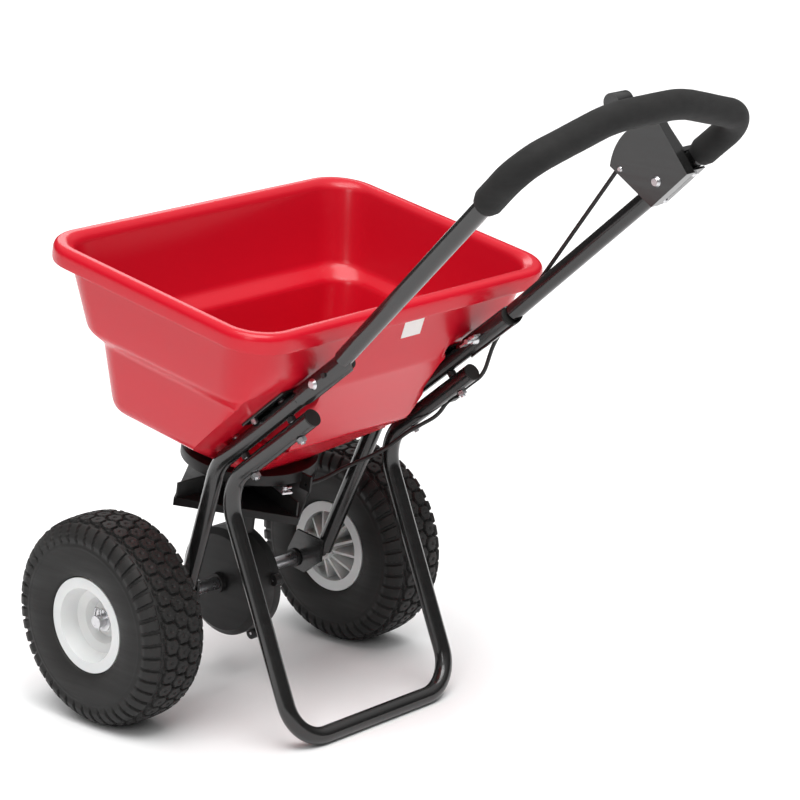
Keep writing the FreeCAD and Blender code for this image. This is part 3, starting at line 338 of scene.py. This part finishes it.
# camera, light and floor
camera = {"place": (-2.7690, -2.6154, 1.4989), "pitch": 0.2746, "yaw": 0.8175, "lens": 146.36,
          "sensor": 36.0}
cameraData = bpy.data.cameras.new("camera")
cameraData.lens = camera["lens"]
cameraData.sensor_width = camera["sensor"]
eye = bpy.data.objects.new("camera", cameraData)
eye.location = camera["place"]
eye.rotation_euler = (math.pi / 2 - camera["pitch"], 0, -camera["yaw"])
bpy.context.collection.objects.link(eye)
bpy.context.scene.camera = eye

studio = {"floor": (0.92, 0.92, 0.92), "sideShade": 0.07, "topShade": 0.72, "behind": 1.0,
          "overhead": {"strength": 2.75, "spread": 50.0, "tilt": (0.22, -0.16)}, "aim": (0.0, 0.0, 0.4),
          "floorHalf": 14,
          "lamps": [((-2.6, -1.4, 1.9), (0.8, 1.6), 16.0), ((-0.6, -1.2, 3.0), (1.6, 1.2), 14.0),
                    ((1.8, 2.6, 2.2), (1.6, 1.2), 14.0)]}
floorMesh = bpy.data.meshes.new("floor")
reach = studio["floorHalf"]
floorMesh.from_pydata([(-reach, -reach, 0), (reach, -reach, 0), (reach, reach, 0), (-reach, reach, 0)], [],
                      [(0, 1, 2, 3)])
floor = bpy.data.objects.new("floor", floorMesh)
bpy.context.collection.objects.link(floor)
floorMesh.materials.append(finish("floorPaint", {"colour": studio["floor"], "shade": studio["floor"],
                                                 "rough": (0.7, 0.8), "bump": 0.0, "dust": 0.0}))
for number, (spot, extent, power) in enumerate(studio["lamps"]):
    lampData = bpy.data.lights.new("softbox" + str(number), "AREA")
    lampData.shape = "RECTANGLE"
    lampData.size, lampData.size_y = extent
    lampData.energy = power
    lamp = bpy.data.objects.new("softbox" + str(number), lampData)
    lamp.location = spot
    aim = np.array(studio["aim"]) - np.array(spot)
    tip = math.atan2(math.hypot(aim[0], aim[1]), -aim[2])
    lamp.rotation_euler = (tip, 0, math.atan2(aim[1], aim[0]) - math.pi / 2)
    bpy.context.collection.objects.link(lamp)
overheadData = bpy.data.lights.new("overhead", "SUN")
overheadData.energy = studio["overhead"]["strength"]
overheadData.angle = math.radians(studio["overhead"]["spread"])
overhead = bpy.data.objects.new("overhead", overheadData)
overhead.rotation_euler = (*studio["overhead"]["tilt"], 0)
bpy.context.collection.objects.link(overhead)
world = bpy.data.worlds.new("studio")
bpy.context.scene.world = world
world.use_nodes = True
sky = world.node_tree
heightOfRay = sky.nodes.new("ShaderNodeSeparateXYZ")
sky.links.new(sky.nodes.new("ShaderNodeTexCoord").outputs["Generated"], heightOfRay.inputs[0])
shadeOfRay = rangeOf(sky, heightOfRay.outputs["Z"], studio["sideShade"], studio["topShade"])
seen = sky.nodes.new("ShaderNodeLightPath").outputs["Is Camera Ray"]
lit = addMath(sky, "MULTIPLY", shadeOfRay, addMath(sky, "SUBTRACT", 1.0, seen))
strength = addMath(sky, "ADD", lit, addMath(sky, "MULTIPLY", seen, studio["behind"]))
sky.nodes["Background"].inputs["Color"].default_value = (1, 1, 1, 1)
sky.links.new(strength, sky.nodes["Background"].inputs["Strength"])
bpy.context.scene.view_settings.view_transform = "Standard"
print("studio ready")

# tyres
tyre = {"outer": 134.8, "halfWidth": 48.2, "centre": 215.2, "tread": 29.0, "depth": 4.0, "blocks": 40,
        "lugs": 46, "lugStart": (3, 5), "lugEnd": (22, 30), "lugRise": 3.4, "steps": 920,
        "rings": [(33, 0.8, 0.8), (70, 1.0, 0.7)],  # distance past the tread, width and height
        "section": [(0, 130.8), (20, 130.0), (33, 127.0), (39.5, 121), (43.5, 113), (46.5, 104), (48.2, 90),
                    (47.6, 78), (45, 67.5), (42.4, 62.6), (38, 61.9), (36, 57)]}


def tyreSection(t):
    # the section's corners cut three times at a quarter and three quarters of each run, then spaced by length
    half = np.array(tyre["section"], float)
    line = np.concatenate([half[::-1] * (-1, 1), half[1:]])
    for cutting in range(3):
        near, far = line[:-1] * 0.75 + line[1:] * 0.25, line[:-1] * 0.25 + line[1:] * 0.75
        line = np.concatenate([line[:1], np.stack([near, far], 1).reshape(-1, 2), line[-1:]])
    run = np.concatenate([[0], np.cumsum(np.hypot(*np.diff(line, axis=0).T))])
    return np.interp(t, run / run[-1], line[:, 0]), np.interp(t, run / run[-1], line[:, 1])


def tyreGrid(side):
    # height over the section: star blocks on the tread as a hexagon distance field, ribs on the shoulders
    t = np.concatenate([np.linspace(0, 0.2, 16, endpoint=False), np.linspace(0.2, 0.8, 92, endpoint=False),
                        np.linspace(0.8, 1, 17)])
    a = np.linspace(0, 2 * math.pi, tyre["steps"], endpoint=False)
    x, r = tyreSection(t)
    run = np.cumsum(np.concatenate([[0], np.hypot(np.diff(x), np.diff(r))]))
    run -= run[-1] / 2
    turn, across = np.meshgrid(a, run, indexing="ij")
    cell = 2 * math.pi * tyre["outer"] / tyre["blocks"]
    rowStep = cell * 0.8660
    row = np.round(across / rowStep)
    shift = np.where(row % 2 == 0, 0.0, 0.5)
    u = (turn / (2 * math.pi) * tyre["blocks"] + shift) % 1.0 - 0.5
    v = (across - row * rowStep) / cell
    u, v = u * cell, v * cell
    heading = np.arctan2(v, u)
    star = np.hypot(u, v) * (1 + 0.08 * np.cos(6 * heading))
    block = 1 - smoothStep(cell * 0.41, cell * 0.48, star)
    pit = 1 - smoothStep(cell * 0.08, cell * 0.13, np.hypot(u, v))
    past = np.abs(across) - tyre["tread"]
    onTread = 1 - smoothStep(0, 2, past)
    lugWave = np.cos(turn * tyre["lugs"] + 0.05 * past * np.sign(across))
    lug = smoothStep(-0.78, -0.5, lugWave)
    lugZone = smoothStep(*tyre["lugStart"], past) * (1 - smoothStep(*tyre["lugEnd"], past))
    rise = tyre["depth"] * (block * onTread * (1 - 0.35 * pit)) + tyre["lugRise"] * lug * lugZone
    for spot, width, height in tyre["rings"]:
        rise = rise + height * np.exp(-((past - spot) / width) ** 2)
    slopeX, slopeR = np.gradient(x, run), np.gradient(r, run)
    outX, outR = -slopeR, slopeX
    length = np.hypot(outX, outR)
    flip = np.sign(outR[len(outR) // 2])
    px = x + flip * outX / length * rise
    pr = r + flip * outR / length * rise
    px = np.clip(px, -tyre["halfWidth"] + 0.05, tyre["halfWidth"] - 0.05)
    pr = np.minimum(pr, tyre["outer"])
    return np.stack([px + side * tyre["centre"], pr * np.cos(turn), pr * np.sin(turn)], -1)


for side, name, body in ((-1, "left", "axle_set"), (1, "right", "right_wheel")):
    piece = gridPiece(name + "TyreRubber", deckToRow(tyreGrid(side)), look["tyreRubber"], body,
                      wrapU=True, wrapV=True, angle=32)
    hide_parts(name + "_tyre")
print("tyres ready")

# hopper
hopper = {"wall": 3.5, "edge": 7.0, "facetStart": 109.0, "facetEnd": 115.0, "sideSteps": 44,
          "cornerSteps": 12,
          "outside": [(184.6, 66, 64, 64, 40), (266, 205, 164, 64, 40), (274, 209, 168, 68, 42),
                      (352, 223, 204, 80, 44), (366, 236, 211, 100, 48), (447, 250.6, 226.6, 126.6, 52)],
          "lip": [(447.5, 264.4, 242.4, 142.4, 54.6), (446.1, 265, 243, 143, 55),
                  (446.1, 267.9, 245.9, 145.9, 57.9), (463.5, 267.9, 245.9, 145.9, 57.9),
                  (470, 263, 241, 141, 53), (470, 252.5, 230.5, 130.5, 44)]}


def outlinePoints(levels):
    # a rounded rectangle per level: corner centre + radius * (cos a, sin a),
    # with its straight sides sampled evenly
    up, half, rear, front, corner = [levels[:, column, None] for column in range(5)]
    quarters = []
    side = np.linspace(0, 1, hopper["sideSteps"] + 1)[None, 1:-1]
    for turn, (cx, cy) in enumerate([(half - corner, front - corner), (corner - half, front - corner),
                                     (corner - half, corner - rear), (half - corner, corner - rear)]):
        a = np.linspace(0, math.pi / 2, hopper["cornerSteps"] + 1)[None] + turn * math.pi / 2
        quarters.append((cx + corner * np.cos(a), cy + corner * np.sin(a)))
    xs, ys = [], []
    for turn, (qx, qy) in enumerate(quarters):
        nextX, nextY = quarters[(turn + 1) % 4]
        xs += [qx, qx[:, -1:] * (1 - side) + nextX[:, :1] * side]
        ys += [qy, qy[:, -1:] * (1 - side) + nextY[:, :1] * side]
    x, y = np.concatenate(xs, 1), np.concatenate(ys, 1)
    return np.stack([x, y, np.repeat(up, x.shape[1], 1)], -1)


def facetY(z, outward):
    # where the slanted corner plane, square to the frame tube's outward direction, meets height z
    along = (z - slopeBase[2] - outward * math.sin(slopeAngle)) / math.cos(slopeAngle)
    return slopeBase[1] + outward * math.cos(slopeAngle) - along * math.sin(slopeAngle)


def pressFacets(points, outward):
    # pushes the two rear corners forwards on to the slanted planes that clear the frame tubes
    x, y, z = points[..., 0], points[..., 1], points[..., 2]
    wanted = facetY(z, outward)
    amount = smoothStep(hopper["facetStart"], hopper["facetEnd"], np.abs(x)) * (z < 440)
    return np.stack([x, np.where(wanted > y, y + (wanted - y) * amount, y), z], -1)


def hopperGrid():
    outside = np.array(hopper["outside"], float)
    inside = outside[::-1] - np.array([0, 1, 1, 1, 1]) * hopper["wall"]
    inside[0, 0] = 464.0
    levels = np.concatenate([outside, np.array(hopper["lip"], float), inside])
    levels = easedProfile(levels, hopper["edge"], 4)[1:-1]
    between = np.linspace(levels[:-1], levels[1:], 4, axis=1)[:, :-1]
    fine = np.concatenate([between.reshape(-1, levels.shape[1]), levels[-1:]])
    points = outlinePoints(fine)
    half = int(np.argmax(fine[:, 0]))
    points[:half] = pressFacets(points[:half], 14.5)
    points[half:] = pressFacets(points[half:], 18.0)
    return points


hopperPiece = gridPiece("hopperShell", deckToRow(hopperGrid()), look["redPlastic"], "frame",
                        wrapU=True, wrapV=True, angle=50)
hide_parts("hopper")
print("hopper ready")

# tubes, handle and grip
tubes = {"radius": 11.1, "frameHalf": 142.0, "standHalf": 141.0, "grip": 17.5}
footUp = (tubes["radius"] - 135 + 270 * math.sin(leanAngle)) / math.cos(leanAngle)


def twoSided(points):
    points = [tuple(point) for point in points]
    return points + [(-x, y, z) for x, y, z in points[::-1]]


standTop = slopeToDeck((tubes["standHalf"], -28, 151))
standKnee, standFoot = (tubes["standHalf"], -99.2, 202.3), (tubes["standHalf"], -270, footUp)
standLine = roundedLine(twoSided([standTop, standKnee, standFoot]), [58, 50, 50, 58])
standTube = tubeGrid(standLine, tubes["radius"], side=(0, 1, -0.4))
standPiece = gridPiece("standTube", deckToRow(standTube), look["blackPaint"], "frame", wrapV=True, capU=True)
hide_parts("stand")
for side, name in ((-1, "left"), (1, "right")):
    tip = slopeToDeck((tubes["frameHalf"] * side, 0, 247))
    line = roundedLine([(124.5 * side, -35.6, 24), (tubes["frameHalf"] * side, -84.8, 228), tip], [75])
    piece = gridPiece(name + "FrameTube", deckToRow(tubeGrid(line, tubes["radius"])), look["blackPaint"],
                      "frame", wrapV=True, capU=True)
    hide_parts(name + "_frame_tube")

handleLow, handleBend, handleCrown = (142.5, -233.7, 388.0), (196.0, -532.0, 765.0), (60.0, -538.0, 801.5)
handleBends = [42, 200, 200, 42]
handleWay = np.array(handleBend) - np.array(handleLow)
handleWay /= np.linalg.norm(handleWay)


def handleStart(along):
    return tuple(np.array(handleLow) + handleWay * along)


handleLine = roundedLine(twoSided([handleStart(64), handleBend, handleCrown]), handleBends)
handlePiece = gridPiece("handleTube", deckToRow(tubeGrid(handleLine, tubes["radius"], side=(0, 1, 0.8))),
                        look["blackPaint"], "frame", wrapV=True, capU=True)
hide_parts("handle")


channel = {"low": 151, "high": 262.5, "inside": 11.25, "thick": 1.9, "spread": 98, "rounding": 14,
           "rings": 48, "around": 25}


def channelGrid(side):
    # the crushed end: an arc about the frame tube, point = (radius cos a, radius sin a, up), thin at its rims
    up = np.linspace(channel["low"], channel["high"], channel["rings"])[:, None]
    fromEnd = np.minimum(up - channel["low"], channel["high"] - up)
    spread = np.radians(channel["spread"]) * np.sqrt(np.clip(fromEnd / channel["rounding"], 0.04, 1))
    a = np.linspace(-1, 1, channel["around"])[None] * spread
    thick = channel["thick"] * np.sqrt(np.clip(fromEnd / 2, 0, 1)) + 0.02
    a = np.concatenate([a, a[:, ::-1]], 1)
    outer = np.repeat(channel["inside"] + thick, channel["around"], 1)
    radius = np.concatenate([outer, np.full_like(outer, channel["inside"])], 1)
    across = side * (tubes["frameHalf"] + radius * np.cos(a))
    return slopeToDeck(np.stack([across, radius * np.sin(a), np.repeat(up, radius.shape[1], 1)], -1))


for side, name in ((-1, "left"), (1, "right")):
    piece = gridPiece(name + "HandleChannel", deckToRow(channelGrid(side)), look["blackPaint"], "frame",
                      wrapV=True, capU=True)
gripLine = roundedLine(twoSided([handleStart(404), handleBend, handleCrown]), handleBends, 18, 8.0)
gripSteps = np.linspace(0, 1, len(gripLine))
gripStep = np.linalg.norm(np.diff(gripLine, axis=0), axis=1)
gripWay = np.concatenate([[0], np.cumsum(gripStep)])
gripRun = np.minimum(gripWay, gripWay[-1] - gripWay)  # how far each ring is from the nearer end
gripRadius = tubes["grip"] - 3.2 * (1 - smoothStep(-1.0, 5.0, gripRun)) - 0.15 * np.sin(gripSteps * 60)
gripRadius = np.minimum(gripRadius, tubes["grip"])
gripTube = tubeGrid(gripLine, gripRadius, side=(0, 1, 0.8), around=36)
gripPiece = gridPiece("foamGripSleeve", deckToRow(gripTube), look["foamGrip"], "frame", wrapV=True, capU=True)
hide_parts("grip")
print("tubes ready")

# label and rounded edges
label = {"across": (8, 42), "up": (412, 438), "lift": 0.35, "tuck": 0.3}


def labelGrid():
    # a flat sheet on the sloping rear wall: y falls with height as the wall does, and the rim is tucked in
    across, up = np.meshgrid(np.linspace(*label["across"], 24), np.linspace(*label["up"], 20), indexing="ij")
    wall = -np.interp(up, [366, 447], [211, 226.6])
    front = np.stack([across, wall - label["lift"], up], -1)
    back = np.stack([across, wall + label["tuck"], up], -1)
    return front, back


labelFront, labelBack = labelGrid()
labelRing = np.concatenate([labelFront, labelBack[:, ::-1]], 1)
labelPiece = gridPiece("rearLabel", deckToRow(labelRing), look["labelPaper"], "frame", wrapV=True, capU=True)
roundedNodes = {"control_cover": 1.6, "control_base": 0.6, "scale_plate": 0.3, "rate_stop": 1.2,
                "lever_knob": 2.0, "lever": 0.6, "rate_stop_screw": 0.8, "gearbox_left_shell": 0.9,
                "gearbox_right_shell": 0.9, "impeller": 0.5, "base_tray": 0.9, "hopper_saddles": 0.6,
                "clamp_strap": 0.7}
for nodeName, width in roundedNodes.items():
    weld = nodes[nodeName].modifiers.new("joined", "WELD")
    weld.merge_threshold = 0.00002
    ease = nodes[nodeName].modifiers.new("eased", "BEVEL")
    ease.width = width / 1000
    ease.segments = 3
    ease.limit_method = "ANGLE"
    ease.angle_limit = math.radians(38)
print("label and edges ready")
